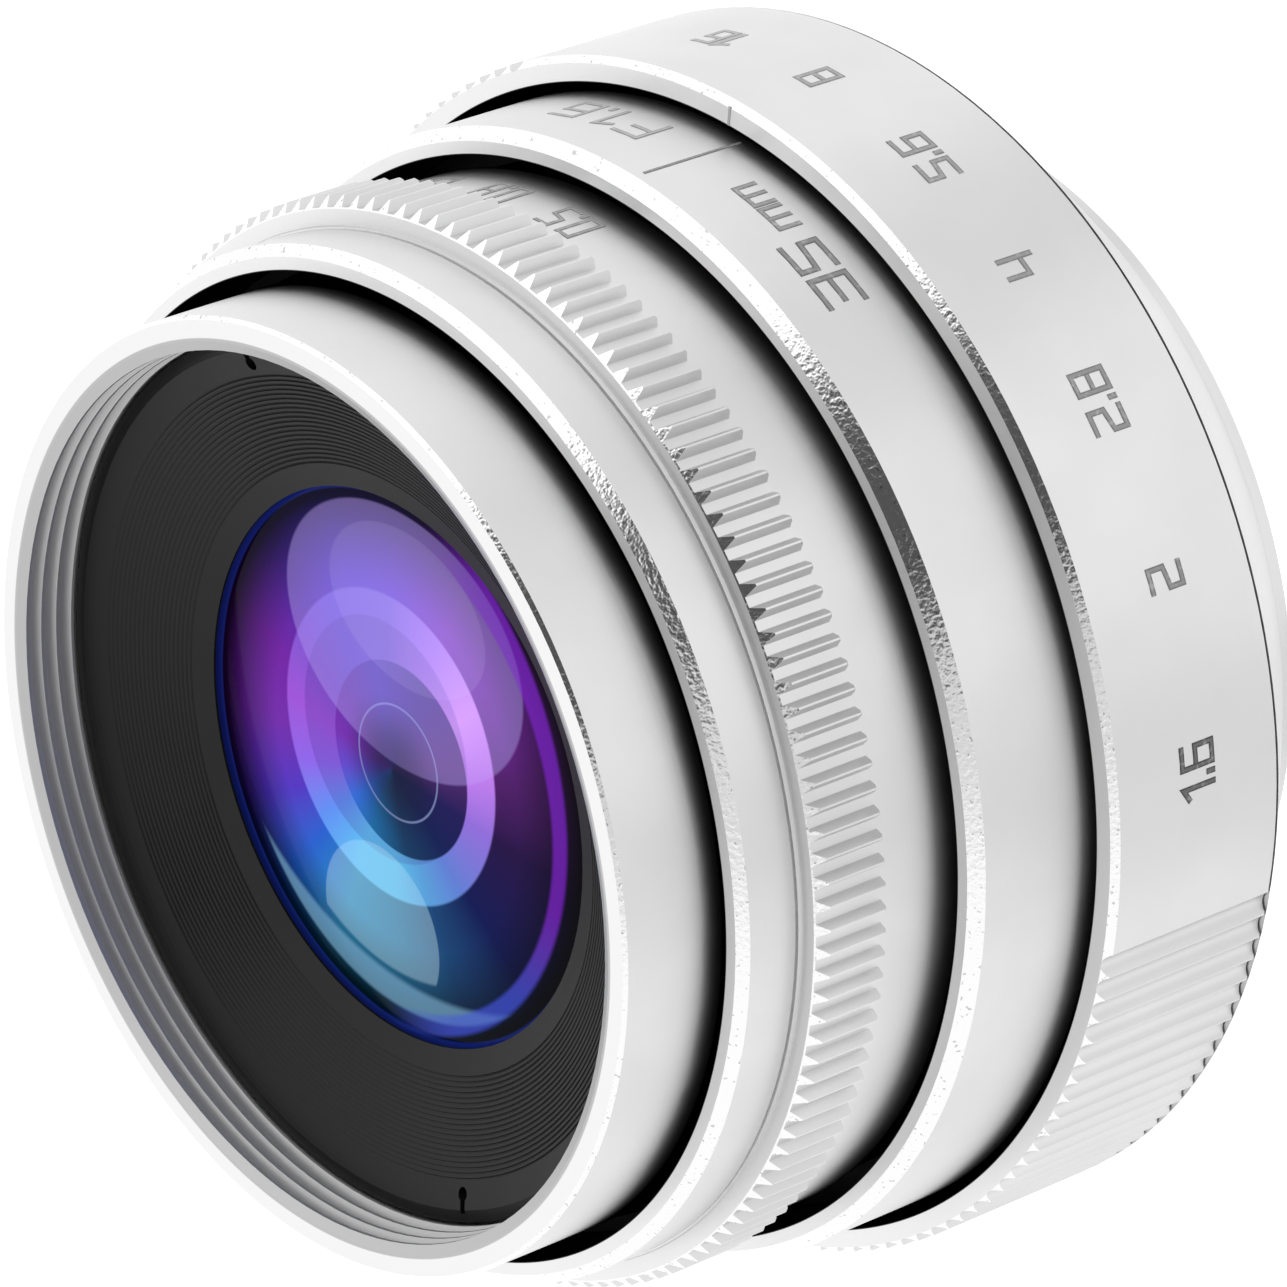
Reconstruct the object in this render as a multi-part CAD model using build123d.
from build123d import *
import os
from math import cos, radians, sin, sqrt

# A 35 mm f/1.6 prime lens for C-mount cameras, modelled at its closest focus and at f/8.
# The optical axis is Z, with the front glass up.  The origin is the centre of the mount's
# flange face, which seats on the camera.  The index line faces -Y.  All sizes are millimetres.

os.makedirs("parts", exist_ok=True)

# ---------------------------------------------------------------- driving dimensions
front_rim_z = 35.0            # face of the filter ring above the flange, at closest focus
filter_ring_r = 19.5          # outside of the filter ring
filter_major_r = 18.5         # M37 x 0.75 filter thread, root
filter_minor_r = 18.1         # M37 x 0.75 filter thread, crest
filter_pitch = 0.75
filter_turns = 3

mount_major_r = 12.7          # 1 inch - 32 UN mount thread, crest
mount_minor_r = 12.2          # 1 inch - 32 UN mount thread, root
mount_pitch = 25.4 / 32
mount_turns = 4
mount_length = 4.0
mount_bore_r = 10.9

focus_travel = 3.1            # the optical block's way from closest focus to infinity
focus_lead = 34.0             # advance of the focusing helicoid in one full turn
focus_turn = 360 * focus_travel / focus_lead

aperture_open_turn = 75.9     # from f/8 to f/1.6
aperture_close_turn = 14.2    # from f/8 to f/16
blade_count = 8
blade_ratio = 0.404           # degrees a blade swings for each degree of the aperture ring

fit = 0.05                    # radial running clearance
seat = 0.03                   # radial clearance of pieces that screw or press together

drive_azimuth = 30.0          # the screw that carries the aperture ring's turn inside
key_azimuth = 240.0           # the key that keeps the optical block from turning
stop_azimuth = 45.0           # the screw that ends the focusing ring's turn
notch_azimuth = 119.0         # the spanner notches of the front trim ring

# Outside of the lens, from the mount to the front
flange_r = 19.2
cone_foot = (19.5, 0.8)       # radius and height where the mount's cone starts
cone_top_z = 6.5
aperture_ring_r = 25.05
aperture_ring_front_z = 15.23
aperture_recess_r = 24.0
barrel_r = 23.5
barrel_front_z = 21.0
barrel_inner_r = 22.45
band_r = 21.7                 # smooth band of the focusing ring that carries the distances
grip_crest_r = 22.4
grip_flutes = 144
grip_flute_depth = 0.4
grip_chamfer = 0.45
grip_rear_z = 24.5
grip_front_z = 27.82
neck_r = 21.2
focus_front_z = 30.67
focus_inner_r = 20.2
aperture_flutes = 144         # flutes of a full turn, of which the plain sector has none
aperture_flute_depth = 0.3
plain_sector = (-181.0, -59.7)  # azimuths of the aperture ring's plain, numbered sector

# Inside of the lens
barrel_shoulder_z = 9.6       # the aperture ring turns below this shoulder
barrel_journal_r = 22.6
barrel_foot_z = 5.0
barrel_bore_r = 20.2
nut_z = (11.0, 16.8)
nut_inner_r = 21.3
base_floor_z = 2.6
tube_r = 17.0
tube_z = (8.0, 31.0)
tube_bore_r = 15.6
tube_rear_bore_r = 14.0
tube_seat_z = 12.6
tube_shoulder = (18.9, 21.2, 22.8)  # radius, bottom and top of the shoulder under the focus ring
drive_z = 8.0                 # height of the drive screw
drive_pin_r = 0.7
drive_pin_at = 18.6
blade_pivot_r = 12.9
blade_inner_r = 9.0
blade_outer_r = 12.2
blade_arc = 115.0             # degrees of a circle that one blade spans
blade_thick = 0.1
blade_pitch = 0.14
blade_z = 16.85
iris_floor_z = (18.2, 19.2)
iris_opening_r = 8.75
cam_z = (15.0, 16.6)

# Screws: height above the flange, and azimuths where there are several
base_screw_z = 5.75           # mount base to index barrel
base_screw_azimuths = (40.0, 160.0, 280.0)
nut_screw_z = 12.4            # index barrel to helicoid nut
nut_screw_azimuths = (90.0, 210.0, 330.0)
stop_screw_z = 15.4           # ends the focusing ring's turn
grub_r = 0.6                  # the base and nut screws
stop_screw_r = 0.5
drive_screw_r = 0.7
screw_gap = 0.02              # radial clearance of a screw in its hole
key_screw_at = (16.2, 3.0)    # distance from the axis, and to either side of the key
key_screw_r = 0.7
key_screw_head_r = 1.3


# ---------------------------------------------------------------- helpers
def turned(*outline):
    """A piece turned about the optical axis from its (radius, height) corners."""
    with BuildPart() as piece:
        with BuildSketch(Plane.XZ):
            with BuildLine():
                Polyline(*outline, close=True)
            make_face()
        revolve(axis=Axis.Z)
    return piece.part


def tube(inner_r, outer_r, bottom, top):
    """A plain tube about the optical axis."""
    return turned((inner_r, bottom), (outer_r, bottom), (outer_r, top), (inner_r, top))


def sector(inner_r, outer_r, bottom, top, start, sweep):
    """A wedge of a tube from one azimuth, counted in degrees, over a sweep."""
    with BuildPart() as piece:
        with BuildSketch(Plane.XZ):
            with Locations(((inner_r + outer_r) / 2, (bottom + top) / 2)):
                Rectangle(outer_r - inner_r, top - bottom)
        revolve(axis=Axis.Z, revolution_arc=sweep)
    return piece.part.rotate(Axis.Z, start)


def around(piece, azimuths):
    """Copies of a piece at each azimuth, as a list."""
    return [piece.rotate(Axis.Z, azimuth) for azimuth in azimuths]


def peg(r, near, far, height, azimuth=0.0):
    """A round pin that points at the optical axis, from one radius out to another."""
    pin = Cylinder(r, far - near, align=(Align.CENTER, Align.CENTER, Align.MIN))
    return pin.rotate(Axis.Y, 90).translate((near, 0, height)).rotate(Axis.Z, azimuth)


def grub_screw(r, near, far, height, azimuth):
    """A headless screw with a screwdriver slot in its outer end."""
    screw = peg(r, near, far, height)
    slot = Box(0.6, 0.3, 4 * r).translate((far, 0, height))
    return (screw - slot).rotate(Axis.Z, azimuth)


def groove_corners(crest_r, root_r, start_z, pitch, turns):
    """Corners of a row of V grooves along a wall, climbing from start_z."""
    land = pitch / 6
    corners = []
    for turn in range(turns):
        z = start_z + turn * pitch
        corners += [(crest_r, z), (crest_r, z + land)]
        corners += [(root_r, z + pitch / 2), (root_r, z + pitch / 2 + land)]
    corners.append((crest_r, start_z + turns * pitch))
    corners.append((crest_r, start_z + turns * pitch + land))
    return corners


def sag(r, radius):
    """Height of a spherical cap of the given curvature radius over its rim radius."""
    return abs(radius) - sqrt(radius**2 - r**2)


def element(edge_r, clear_r, front_z, front_radius, rear_z, rear_radius):
    """A glass element: spherical faces inside a flat land at each rim.

    A positive radius bulges out of the glass, and a negative one hollows it.
    """
    front_sign = 1 if front_radius > 0 else -1
    rear_sign = 1 if rear_radius > 0 else -1
    front_pole = front_z + front_sign * sag(clear_r, front_radius)
    rear_pole = rear_z - rear_sign * sag(clear_r, rear_radius)
    half = clear_r / 2
    front_half = front_pole - front_sign * sag(half, front_radius)
    rear_half = rear_pole + rear_sign * sag(half, rear_radius)
    with BuildPart() as glass:
        with BuildSketch(Plane.XZ):
            with BuildLine():
                Line((0, rear_pole), (0, front_pole))
                ThreePointArc((0, front_pole), (half, front_half), (clear_r, front_z))
                Line((clear_r, front_z), (edge_r, front_z))
                Line((edge_r, front_z), (edge_r, rear_z))
                Line((edge_r, rear_z), (clear_r, rear_z))
                ThreePointArc((clear_r, rear_z), (half, rear_half), (0, rear_pole))
            make_face()
        revolve(axis=Axis.Z)
    return glass.part


def flute_cutter(crest_r, depth, cutter_r, bottom, top):
    """The round-nosed cutter that makes one flute, at azimuth zero."""
    height = top - bottom
    bar = Cylinder(cutter_r, height, align=(Align.CENTER, Align.CENTER, Align.MIN))
    return bar.translate((crest_r - depth + cutter_r, 0, bottom))


def groove_cutter(crest_r, depth, floor_width, mouth_width, bottom, top):
    """The flat-nosed cutter with sloping sides that makes one groove, at azimuth zero."""
    clearance = 0.05
    widest = mouth_width + (mouth_width - floor_width) / depth * clearance
    corners = [
        (crest_r - depth, -floor_width / 2),
        (crest_r + clearance, -widest / 2),
        (crest_r + clearance, widest / 2),
        (crest_r - depth, floor_width / 2),
    ]
    section = make_face(Polyline(*corners, close=True))
    return Pos(0, 0, bottom) * extrude(section, top - bottom)


def save(name, shape):
    export_step(shape, f"parts/{name}.step")


# ---------------------------------------------------------------- fixed pieces
def make_mount_base():
    """Threaded nose, flange and cone in one piece, with the seat for the index barrel."""
    cone_r = aperture_ring_r - 0.03
    thread_start = -(mount_turns + 1 / 6) * mount_pitch
    nose = groove_corners(mount_major_r, mount_minor_r, thread_start, mount_pitch, mount_turns)
    outline = [(mount_bore_r, -mount_length), (mount_minor_r, -mount_length)]
    outline += nose
    outline += [(flange_r, 0), cone_foot]
    outline += [(cone_r, cone_top_z), (barrel_journal_r + seat, cone_top_z), (barrel_journal_r + seat, barrel_foot_z)]
    outline += [(barrel_bore_r, barrel_foot_z)]
    outline += [(barrel_bore_r, base_floor_z), (mount_bore_r, base_floor_z)]
    base = turned(*outline)
    for azimuth in base_screw_azimuths:
        base -= peg(grub_r + screw_gap, 22.0, 25.0, base_screw_z, azimuth)
    for screw in key_screws(screw_gap):
        base -= screw
    return base


def beside_key(piece):
    """Copies of a piece at the guide key's two screws."""
    along, side = key_screw_at
    return [piece.translate((along, y, 0)).rotate(Axis.Z, key_azimuth) for y in (-side, side)]


def key_screws(gap=0.0):
    """The two countersunk screws that hold the guide key from behind."""
    upright = (Align.CENTER, Align.CENTER, Align.MIN)
    shank = Cylinder(key_screw_r + gap, 3.2, align=upright)
    head = Cone(key_screw_head_r + gap, key_screw_r + gap, 0.8, align=upright)
    return beside_key(shank + head)


def make_guide_key_screws():
    slots = beside_key(Box(0.35, 2.0, 0.6))
    return [screw - slot for screw, slot in zip(key_screws(), slots)]


def make_guide_key():
    """An upright bar with a foot, which runs in the optical block's slot."""
    foot = Box(1.5, 8.6, 1.0, align=(Align.CENTER, Align.CENTER, Align.MIN))
    bar = Box(1.4, 3.0, 11.4, align=(Align.CENTER, Align.CENTER, Align.MIN))
    key = (foot + bar).translate((16.45, 0, base_floor_z)).rotate(Axis.Z, key_azimuth)
    for screw in key_screws(screw_gap):
        key -= screw
    return key


def make_index_barrel():
    """The fixed barrel between the focusing ring and the aperture ring."""
    shoulder_z = nut_z[0]
    barrel = turned(
        (barrel_bore_r, barrel_foot_z),
        (barrel_journal_r, barrel_foot_z),
        (barrel_journal_r, barrel_shoulder_z),
        (barrel_r, barrel_shoulder_z),
        (barrel_r, barrel_front_z - 0.5),
        (barrel_r - 0.5, barrel_front_z),
        (barrel_inner_r, barrel_front_z),
        (barrel_inner_r, shoulder_z),
        (barrel_bore_r, shoulder_z),
    )
    start = drive_azimuth - aperture_close_turn - 2.5
    sweep = aperture_close_turn + aperture_open_turn + 5.0
    barrel -= sector(barrel_bore_r - 1, barrel_journal_r + 1, drive_z - 0.9, drive_z + 0.9, start, sweep)
    for azimuth in base_screw_azimuths:
        barrel -= peg(grub_r + screw_gap, 22.0, 24.0, base_screw_z, azimuth)
    for azimuth in nut_screw_azimuths:
        barrel -= peg(grub_r + screw_gap, 21.5, 24.0, nut_screw_z, azimuth)
    barrel -= peg(stop_screw_r + screw_gap, 21.0, 24.0, stop_screw_z, stop_azimuth)
    return barrel


def make_helicoid_nut():
    """The bronze sleeve in which the focusing helicoid turns."""
    nut = tube(nut_inner_r, barrel_inner_r - seat, *nut_z)
    for azimuth in nut_screw_azimuths:
        nut -= peg(grub_r + screw_gap, 21.7, 24.0, nut_screw_z, azimuth)
    return nut - peg(stop_screw_r + screw_gap, 21.0, 24.0, stop_screw_z, stop_azimuth)


def make_light_baffle():
    """The thin black ring in the end of the nose that masks stray light."""
    return turned((8.7, -3.9), (mount_bore_r - seat, -3.9), (mount_bore_r - seat, -3.2), (9.4, -3.2))


# ---------------------------------------------------------------- aperture ring
def make_aperture_ring():
    edge, chamfer = 0.08, 0.28
    ring = turned(
        (barrel_journal_r + fit, cone_top_z + 0.06),
        (aperture_ring_r - edge, cone_top_z + 0.06),
        (aperture_ring_r, cone_top_z + 0.06 + edge),
        (aperture_ring_r, aperture_ring_front_z - chamfer),
        (aperture_ring_r - chamfer, aperture_ring_front_z),
        (aperture_recess_r, aperture_ring_front_z),
        (aperture_recess_r, barrel_shoulder_z - 0.3),
        (barrel_journal_r + fit, barrel_shoulder_z - 0.3),
    )
    step = 360 / aperture_flutes
    first = plain_sector[1] + step
    count = int((360 - (plain_sector[1] - plain_sector[0])) / step)
    bottom, top = cone_top_z - 1, aperture_ring_front_z + 1
    cutter = flute_cutter(aperture_ring_r, aperture_flute_depth, 0.6, bottom, top)
    ring -= around(cutter, [first + step * i for i in range(count)])
    return ring - peg(drive_screw_r + screw_gap, 22.0, 26.0, drive_z, drive_azimuth)


def make_drive_ring():
    """The inner ring that turns with the aperture ring and carries the upright drive pin."""
    ring = tube(17.5, 20.0, drive_z - 0.8, drive_z + 0.8)
    ring -= peg(drive_screw_r + screw_gap, 19.4, 21.0, drive_z, drive_azimuth)
    hole = Cylinder(drive_pin_r, 2.0).translate((drive_pin_at, 0, drive_z))
    return ring - hole.rotate(Axis.Z, drive_azimuth)


def make_drive_pin():
    pin = Cylinder(drive_pin_r - 0.01, 10.6, align=(Align.CENTER, Align.CENTER, Align.MIN))
    return pin.translate((drive_pin_at, 0, drive_z - 0.8)).rotate(Axis.Z, drive_azimuth)


# ---------------------------------------------------------------- focusing ring
def make_focus_ring():
    """The grip: flange, neck, relief groove, fluted band and the smooth distance band."""
    groove_z = grip_front_z + 0.15
    skirt_r = nut_inner_r - 0.05
    ring = turned(
        (focus_inner_r, 20.75),
        (skirt_r, 20.75),
        (skirt_r, 20.05),
        (band_r, 20.05),
        (band_r, grip_rear_z),
        (grip_crest_r - 0.1, grip_rear_z),
        (grip_crest_r, grip_rear_z + 0.1),
        (grip_crest_r, grip_front_z - grip_chamfer),
        (grip_crest_r - grip_chamfer, grip_front_z),
        (neck_r + 0.1, grip_front_z),
        (neck_r + 0.05, groove_z),
        (neck_r - 0.1, groove_z + 0.02),
        (neck_r - 0.1, groove_z + 0.1),
        (neck_r, groove_z + 0.12),
        (neck_r, focus_front_z - 0.35),
        (neck_r - 0.45, focus_front_z),
        (focus_inner_r, focus_front_z),
    )
    step = 360 / grip_flutes
    cutter = groove_cutter(grip_crest_r, grip_flute_depth, 0.42, 0.9, grip_rear_z - 0.5, grip_front_z + 0.1)
    below = tube(focus_inner_r, band_r + 3, 0, grip_rear_z)
    cutters = around(cutter - below, [step * i for i in range(grip_flutes)])
    return ring - cutters


def make_focus_helicoid():
    """The sleeve behind the grip: helicoid skirt, and the web that rides on the lens tube."""
    sleeve = turned(
        (19.6, 14.2),
        (nut_inner_r - 0.1, 14.2),
        (nut_inner_r - 0.1, 20.7),
        (focus_inner_r - seat, 20.7),
        (focus_inner_r - seat, 25.9),
        (tube_r + fit, 25.9),
        (tube_r + fit, 22.9),
        (19.6, 22.9),
    )
    window_low = stop_screw_z - 0.6
    window_high = stop_screw_z + focus_travel + 0.6
    start = stop_azimuth - 1.7
    return sleeve - sector(20.5, 22.0, window_low, window_high, start, focus_turn + 3.4)


def make_grip_lock_ring():
    """The slotted ring that clamps the grip to the helicoid sleeve."""
    ring = tube(19.65, focus_inner_r - seat, 25.95, 27.0)
    notch = Box(2.0, 0.8, 0.8)
    for azimuth in (35.0, 215.0):
        ring -= notch.translate((19.9, 0, 27.0)).rotate(Axis.Z, azimuth)
    return ring


# ---------------------------------------------------------------- optical block
def make_front_barrel():
    """The filter ring, which screws over the lens tube and holds the focusing ring on it."""
    top = front_rim_z
    start = top - 0.2 - filter_pitch / 6 - filter_turns * filter_pitch
    threads = groove_corners(filter_minor_r, filter_major_r, start, filter_pitch, filter_turns)
    outline = [(tube_r + seat, 26.0), (filter_ring_r, 26.0), (filter_ring_r, top - 0.15)]
    outline += [(filter_ring_r - 0.15, top), (filter_major_r, top)]
    outline += reversed(threads)
    outline += [(18.3, start - 0.05), (18.3, 31.05), (tube_r + seat, 31.05)]
    return turned(*outline)


def make_front_trim_ring():
    """The black dished ring round the front glass, with its fine grooves and spanner notches."""
    rim_r, top = 18.0, 32.35
    outer, inner = (17.5, top), (11.5, 30.35)
    slope = (outer[1] - inner[1]) / (outer[0] - inner[0])
    grooves, pitch, depth = 20, 0.2, 0.04
    outline = [(rim_r, 31.1), (rim_r, top), outer]
    for i in range(grooves):
        r = 16.4 - i * pitch
        z = outer[1] - (outer[0] - r) * slope
        outline += [(r, z), (r - pitch / 3, z - pitch / 3 * slope - depth)]
        outline.append((r - pitch / 2, z - pitch / 2 * slope))
    outline += [inner, (inner[0], 30.25), (12.35, 30.1), (15.0, 30.3), (15.5, 31.1)]
    ring = turned(*outline)
    hole = Cylinder(0.28, 3.0).translate((16.9, 0, top))
    slot = Box(0.9, 0.3, 0.9).translate((17.2, 0, top))
    for azimuth in (notch_azimuth, notch_azimuth + 180):
        ring -= (hole + slot).rotate(Axis.Z, azimuth)
    return ring


def make_lens_tube():
    """The main tube of the optical block, with the key slot and the slot for the iris arm."""
    shoulder_r, shoulder_low, shoulder_high = tube_shoulder
    main = turned(
        (tube_rear_bore_r, tube_z[0]),
        (tube_r, tube_z[0]),
        (tube_r, shoulder_low),
        (shoulder_r, shoulder_low),
        (shoulder_r, shoulder_high),
        (tube_r, shoulder_high),
        (tube_r, tube_z[1]),
        (tube_bore_r, tube_z[1]),
        (tube_bore_r, tube_seat_z),
        (tube_rear_bore_r, tube_seat_z),
    )
    key_slot = Box(1.6, 3.1, 9.6, align=(Align.MIN, Align.CENTER, Align.MIN))
    main -= key_slot.translate((15.65, 0, tube_z[0] - 0.1)).rotate(Axis.Z, key_azimuth)
    return main - arm_slot(tube_bore_r - 1, tube_r + 1)


def arm_slot(inner_r, outer_r):
    """The circumferential window that the iris arm sweeps."""
    half_arm = 7.5
    start = drive_azimuth - aperture_close_turn - half_arm
    sweep = aperture_close_turn + aperture_open_turn + 2 * half_arm
    return sector(inner_r, outer_r, cam_z[0] - 0.1, cam_z[1] - 0.1, start, sweep)


def make_front_cell():
    """The black cell that holds the first two elements."""
    return turned(
        (10.55, 19.3),
        (15.55, 19.3),
        (15.55, 29.7),
        (12.35, 29.7),
        (12.35, 25.0),
        (9.9, 25.0),
        (9.9, 24.0),
        (10.55, 24.0),
    )


def make_rear_cell():
    """The stepped black cell that holds the cemented pair and the last element."""
    return turned(
        (9.35, 1.0),
        (10.4, 1.0),
        (10.4, 8.1),
        (13.95, 8.1),
        (13.95, 12.5),
        (12.0, 12.5),
        (12.0, 13.8),
        (8.8, 13.8),
        (8.8, 13.2),
        (9.35, 13.2),
    )


# ---------------------------------------------------------------- iris
def make_iris_housing():
    """The cup that carries the blade pivots and guides the cam ring."""
    floor_low, floor_high = iris_floor_z
    rim_r = 14.4
    cup = turned(
        (rim_r, 12.65),
        (15.55, 12.65),
        (15.55, floor_high),
        (iris_opening_r + 0.6, floor_high),
        (iris_opening_r, floor_high - 0.6),
        (iris_opening_r, floor_low),
        (rim_r, floor_low),
    )
    cup -= arm_slot(rim_r - 1, 16.5)
    pivot = Cylinder(0.45, 3.0).translate((blade_pivot_r, 0, floor_high))
    return cup - around(pivot, [360 / blade_count * i for i in range(blade_count)])


def make_iris_cam_ring():
    """The ring with a curved slot for each blade and the forked arm that the drive pin moves."""
    low, high = cam_z
    ring = tube(9.2, 14.3, low, high)
    with BuildPart() as slot:
        with BuildSketch(Plane.XY.offset(low - 0.2)):
            with BuildLine():
                points = []
                for r, azimuth in ((13.1, 0), (12.2, 18), (10.7, 34)):
                    points.append((r * cos(radians(azimuth)), r * sin(radians(azimuth))))
                spine = ThreePointArc(*points)
            SlotArc(arc=spine, height=0.9)
        extrude(amount=high - low + 0.4)
    ring -= around(slot.part, [360 / blade_count * i for i in range(blade_count)])
    arm = Box(5.6, 3.2, high - low - 0.2, align=(Align.MIN, Align.CENTER, Align.MIN))
    fork = Box(3.0, 1.5, 4.0, align=(Align.MIN, Align.CENTER, Align.CENTER))
    arm = arm.translate((13.7, 0, low)) - fork.translate((17.7, 0, low))
    return ring + arm.rotate(Axis.Z, drive_azimuth)


def make_iris_blade(number):
    """A thin crescent with a round ear and a pivot pin, swung in to f/8."""
    start, end = 0.0, blade_arc

    def on_circle(r, azimuth):
        return (r * cos(radians(azimuth)), r * sin(radians(azimuth)))

    middle = (start + end) / 2
    level = blade_z + number * blade_pitch
    with BuildPart() as blade:
        with BuildSketch(Plane.XY.offset(level)):
            with BuildLine():
                ThreePointArc(*[on_circle(blade_outer_r, a) for a in (start, middle, end)])
                Line(on_circle(blade_outer_r, end), on_circle(blade_inner_r, end))
                ThreePointArc(*[on_circle(blade_inner_r, a) for a in (end, middle, start)])
                Line(on_circle(blade_inner_r, start), on_circle(blade_outer_r, start))
            make_face()
            with Locations((blade_pivot_r, 0)):
                Circle(0.8)
        extrude(amount=blade_thick)
    pin = Cylinder(0.4, iris_floor_z[1] - 0.2 - level, align=(Align.CENTER, Align.CENTER, Align.MIN))
    shape = blade.part + pin.translate((blade_pivot_r, 0, level))
    swing = blade_ratio * aperture_open_turn
    shape = shape.rotate(Axis((blade_pivot_r, 0, 0), (0, 0, 1)), swing)
    return shape.rotate(Axis.Z, number * 360 / blade_count)


# ---------------------------------------------------------------- write every piece
save("mount_base", make_mount_base())
save("base_screws", Compound(children=[
    grub_screw(grub_r, 22.05, 23.9, base_screw_z, azimuth) for azimuth in base_screw_azimuths]))
save("guide_key", make_guide_key())
save("guide_key_screws", Compound(children=make_guide_key_screws()))
save("index_barrel", make_index_barrel())
save("helicoid_nut", make_helicoid_nut())
save("helicoid_nut_screws", Compound(children=[
    grub_screw(grub_r, 21.75, 23.3, nut_screw_z, azimuth) for azimuth in nut_screw_azimuths]))
save("focus_stop_screw", grub_screw(stop_screw_r, 20.7, 23.3, stop_screw_z, stop_azimuth))
save("light_baffle", make_light_baffle())
save("aperture_slip_washer", tube(22.75, 23.4, barrel_shoulder_z - 0.27, barrel_shoulder_z - 0.03))

save("aperture_ring", make_aperture_ring())
save("aperture_drive_screw", grub_screw(drive_screw_r, 19.45, 24.4, drive_z, drive_azimuth))
save("aperture_drive_ring", make_drive_ring())
save("aperture_drive_pin", make_drive_pin())

save("focus_ring", make_focus_ring())
save("focus_helicoid", make_focus_helicoid())
save("grip_lock_ring", make_grip_lock_ring())

save("front_barrel", make_front_barrel())
save("front_trim_ring", make_front_trim_ring())
save("lens_tube", make_lens_tube())
save("front_cell", make_front_cell())
save("front_element", element(12.3, 11.6, 30.0, 160.0, 27.4, -90.0))
save("front_spacer", tube(11.7, 12.32, 25.02, 27.38))
save("second_element", element(10.5, 9.8, 23.95, 40.0, 21.0, -24.0))
save("second_retaining_ring", turned((9.9, 19.5), (10.52, 19.5), (10.52, 20.95), (9.9, 20.95)))
save("rear_cell", make_rear_cell())
save("third_element", element(9.3, 8.6, 13.15, 20.0, 10.4, 25.0))
save("fourth_element", element(9.3, 8.6, 10.4, -25.0, 7.0, -80.0))
save("rear_spacer", tube(8.6, 9.32, 5.02, 6.98))
save("fifth_element", element(9.3, 8.5, 5.0, 30.0, 3.0, 30.0))
save("rear_retaining_ring", tube(8.5, 9.32, 1.7, 2.95))

save("iris_housing", make_iris_housing())
save("iris_snap_ring", tube(12.2, 14.37, 14.2, 14.9))
save("iris_cam_ring", make_iris_cam_ring())
for number in range(blade_count):
    save(f"iris_blade_{number + 1}", make_iris_blade(number))
